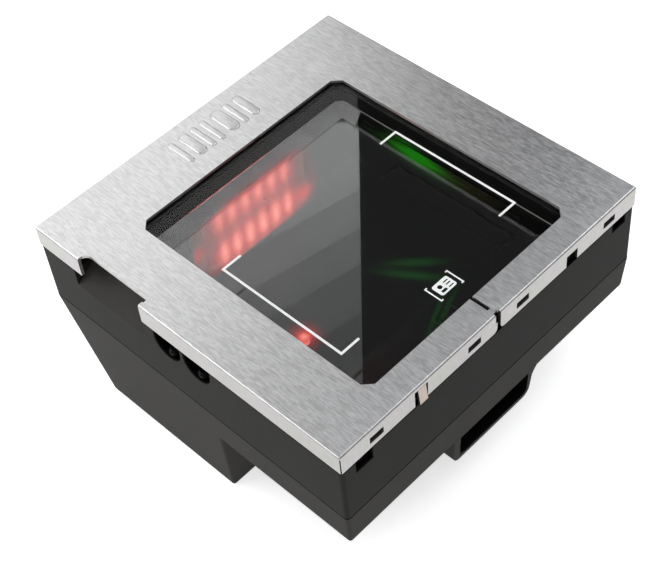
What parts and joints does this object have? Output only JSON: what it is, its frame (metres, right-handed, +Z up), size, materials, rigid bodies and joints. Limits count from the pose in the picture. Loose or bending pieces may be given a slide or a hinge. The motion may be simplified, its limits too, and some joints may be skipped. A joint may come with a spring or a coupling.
{
  "type": "flatbed barcode scanner",
  "caption": "Counter-mounted flatbed barcode scanner: lift-off brushed steel platter with a glass window over a deep two-part plastic case with a cable sleeve.",
  "frame": {"origin": "under the middle of the platter, at the level of the deep foot's flat underside", "axes": "+Z up, out of the platter; +X towards the side with the cable sleeve; -Y towards the side with the finger notch"},
  "size_m": [0.1538, 0.1524, 0.0874],
  "materials": {
    "platter_steel": "brushed along X",
    "black_plastic": "matte",
    "case_plastic": "fine moulded texture",
    "lower_case_plastic": "fine moulded texture",
    "window_glass": "polished, hard coated",
    "rubber": "matte",
    "white_ink": "screen printed",
    "copper_foil": "rolled",
    "mirror_silver": "polished",
    "circuit_board": "solder mask",
    "red_lens": "translucent",
    "green_lens": "translucent",
    "amber_film": "film",
    "tinned_sheet": "tinned",
    "cone_paper": "pressed paper",
    "zinc_steel": "zinc plated",
    "black_steel": "black oxide"
  },
  "bodies": {
    "base": {"aimer_led": "red_lens", "antenna_loop": "copper_foil", "aux_socket": "black_plastic", "board_screw_1": "zinc_steel", "board_screw_2": "zinc_steel", "board_screw_3": "zinc_steel", "board_screw_4": "zinc_steel", "bulk_capacitor": "tinned_sheet", "camera_housing": "black_plastic", "decoder_board": "circuit_board", "flex_cable": "amber_film", "flex_connector": "black_plastic", "host_socket": "black_plastic", "illumination_board": "circuit_board", "indicator_light_bar": "green_lens", "inner_glass": "window_glass", "led_diffuser_lower": "red_lens", "led_diffuser_upper": "red_lens", "led_strip_lower": "red_lens", "led_strip_upper": "red_lens", "lens_barrel": "black_plastic", "lens_glass": "window_glass", "lower_shell": "lower_case_plastic", "main_mirror": "mirror_silver", "optics_tub": "black_plastic", "plate_pad": "rubber", "power_jack": "black_plastic", "processor_shield": "tinned_sheet", "seam_gasket": "rubber", "sensor_board": "circuit_board", "shell_screw_1": "black_steel", "shell_screw_2": "black_steel", "shell_screw_3": "black_steel", "shell_screw_4": "black_steel", "shell_screw_5": "black_steel", "shell_screw_6": "black_steel", "shell_screw_7": "black_steel", "shell_screw_8": "black_steel", "speaker_cone": "cone_paper", "speaker_frame": "black_plastic", "speaker_magnet": "tinned_sheet", "tub_screw_1": "zinc_steel", "tub_screw_2": "zinc_steel", "tub_screw_3": "zinc_steel", "tub_screw_4": "zinc_steel", "tub_seal": "rubber", "upper_shell": "case_plastic", "usb_socket": "tinned_sheet"},
    "platter": {"top_plate": "platter_steel", "slit_insert": "black_plastic", "window_glass": "window_glass", "glass_gasket": "rubber", "glass_carrier": "black_plastic", "scan_bracket_front": "white_ink", "scan_bracket_back": "white_ink", "card_symbol": "white_ink"},
    "tongue_right": {"snap_tongue_right": "platter_steel"},
    "tongue_left": {"snap_tongue_left": "platter_steel"}
  },
  "joints": [
    {"name": "platter_lift", "type": "slide", "parent": "base", "child": "platter", "axis": [0, 0, 1], "range_m": [0, 0.06]},
    {"name": "tongue_right_flex", "type": "hinge", "parent": "platter", "child": "tongue_right", "pos_m": [0.07575, -0.038, 0.0852], "axis": [0, 1, 0], "range_deg": [0, 6], "stiffness_Nm_per_rad": 0.3},
    {"name": "tongue_left_flex", "type": "hinge", "parent": "platter", "child": "tongue_left", "pos_m": [-0.07575, -0.038, 0.0852], "axis": [0, -1, 0], "range_deg": [0, 6], "stiffness_Nm_per_rad": 0.3}
  ]
}
